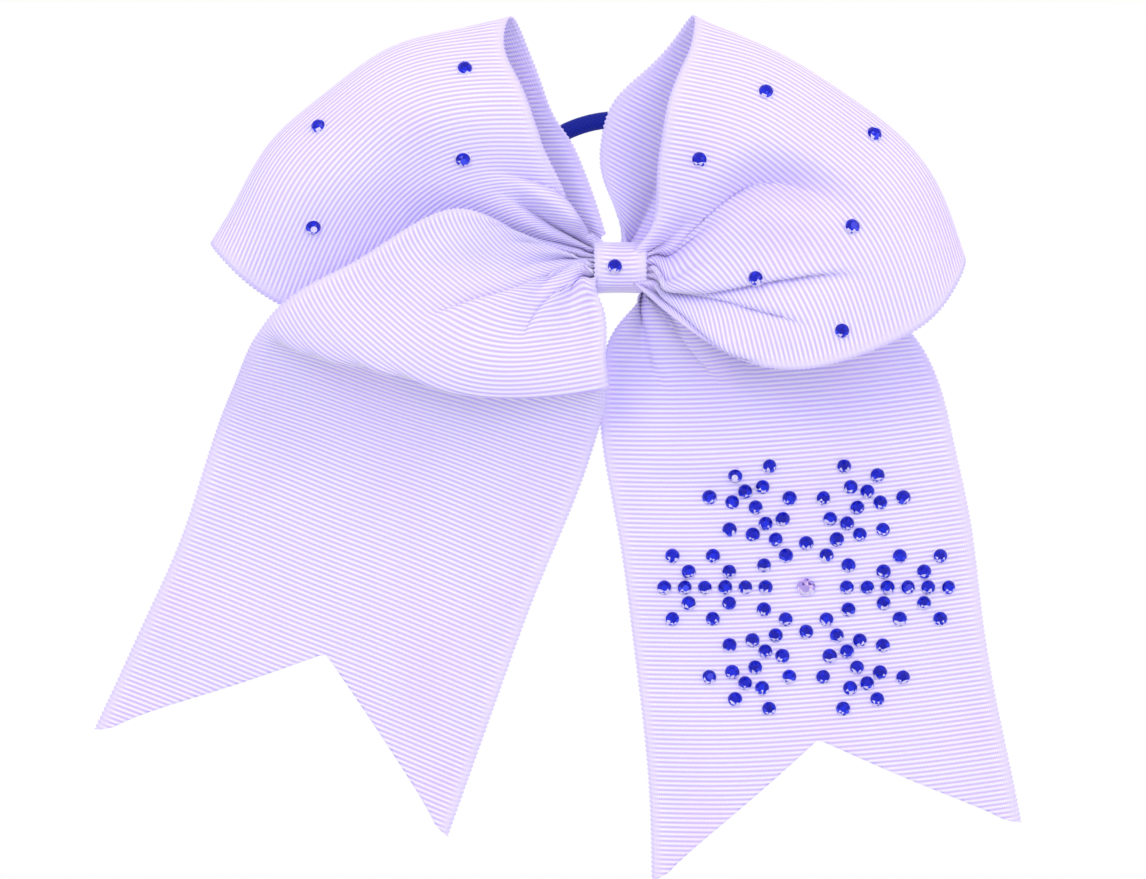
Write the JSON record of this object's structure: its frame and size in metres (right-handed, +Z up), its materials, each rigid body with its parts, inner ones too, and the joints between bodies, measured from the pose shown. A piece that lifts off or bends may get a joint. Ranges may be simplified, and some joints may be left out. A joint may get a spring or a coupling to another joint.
{
  "type": "cheer hair bow",
  "caption": "Large pleated ribbon hair bow with two loops, two swallow-tailed ends, glued-on stones with a snowflake motif, and a hair elastic behind the knot.",
  "frame": {"origin": "middle of the elastic strand where it is held at the back of the knot", "axes": "+Z up as the bow is worn, +X to the right seen from the front, the front faces -Y"},
  "size_m": [0.1997, 0.0405, 0.1841],
  "materials": {
    "ribbon": "satin",
    "thread": "matte",
    "glue": "gloss",
    "blue_stone": "polished",
    "clear_stone": "polished",
    "elastic": "matte",
    "rubber_core": "matte",
    "sleeve": "matte"
  },
  "bodies": {
    "knot": {"knot_wrap": "ribbon", "gather_core": "ribbon", "binding_thread": "thread", "glue_pad": "glue", "knot_stone": "blue_stone", "knot_stone_glue": "glue", "left_tail_head": "ribbon", "right_tail_head": "ribbon"},
    "left_loop": {"left_loop": "ribbon", "left_loop_stones": "blue_stone", "left_loop_glue_dots": "glue"},
    "right_loop": {"right_loop": "ribbon", "right_loop_stones": "blue_stone", "right_loop_glue_dots": "glue"},
    "left_tail": {"left_tail": "ribbon"},
    "right_tail": {"right_tail": "ribbon", "snowflake_arm_1": "blue_stone", "snowflake_arm_2": "blue_stone", "snowflake_arm_3": "blue_stone", "snowflake_arm_4": "blue_stone", "snowflake_arm_5": "blue_stone", "snowflake_arm_6": "blue_stone", "snowflake_ring_stones": "blue_stone", "snowflake_centre_stone": "clear_stone", "snowflake_glue_dots": "glue"},
    "hair_elastic": {"elastic_cover": "elastic", "elastic_core": "rubber_core", "elastic_sleeve": "sleeve"}
  },
  "joints": [
    {"name": "hair_elastic_swing", "type": "hinge", "parent": "knot", "child": "hair_elastic", "pos_m": [0, 0, 0], "axis": [-1, 0, 0], "range_deg": [0, 80], "stiffness_Nm_per_rad": 0.004},
    {"name": "left_loop_flex", "type": "hinge", "parent": "knot", "child": "left_loop", "pos_m": [-0.0064, -0.008, 0], "axis": [0, 0, 1], "range_deg": [-8, 0], "stiffness_Nm_per_rad": 0.03},
    {"name": "right_loop_flex", "type": "hinge", "parent": "knot", "child": "right_loop", "pos_m": [0.0069, -0.012, 0], "axis": [0, 0, 1], "range_deg": [-20, 2], "stiffness_Nm_per_rad": 0.03},
    {"name": "left_tail_flap", "type": "hinge", "parent": "knot", "child": "left_tail", "pos_m": [-0.041, -0.0165, -0.0218], "axis": [-0.9873, -0.0802, 0.1373], "range_deg": [-20, 45], "stiffness_Nm_per_rad": 0.008},
    {"name": "right_tail_flap", "type": "hinge", "parent": "knot", "child": "right_tail", "pos_m": [0.0313, 0.0007, -0.0278], "axis": [-0.981, 0, -0.194], "range_deg": [-45, 30], "stiffness_Nm_per_rad": 0.008}
  ]
}
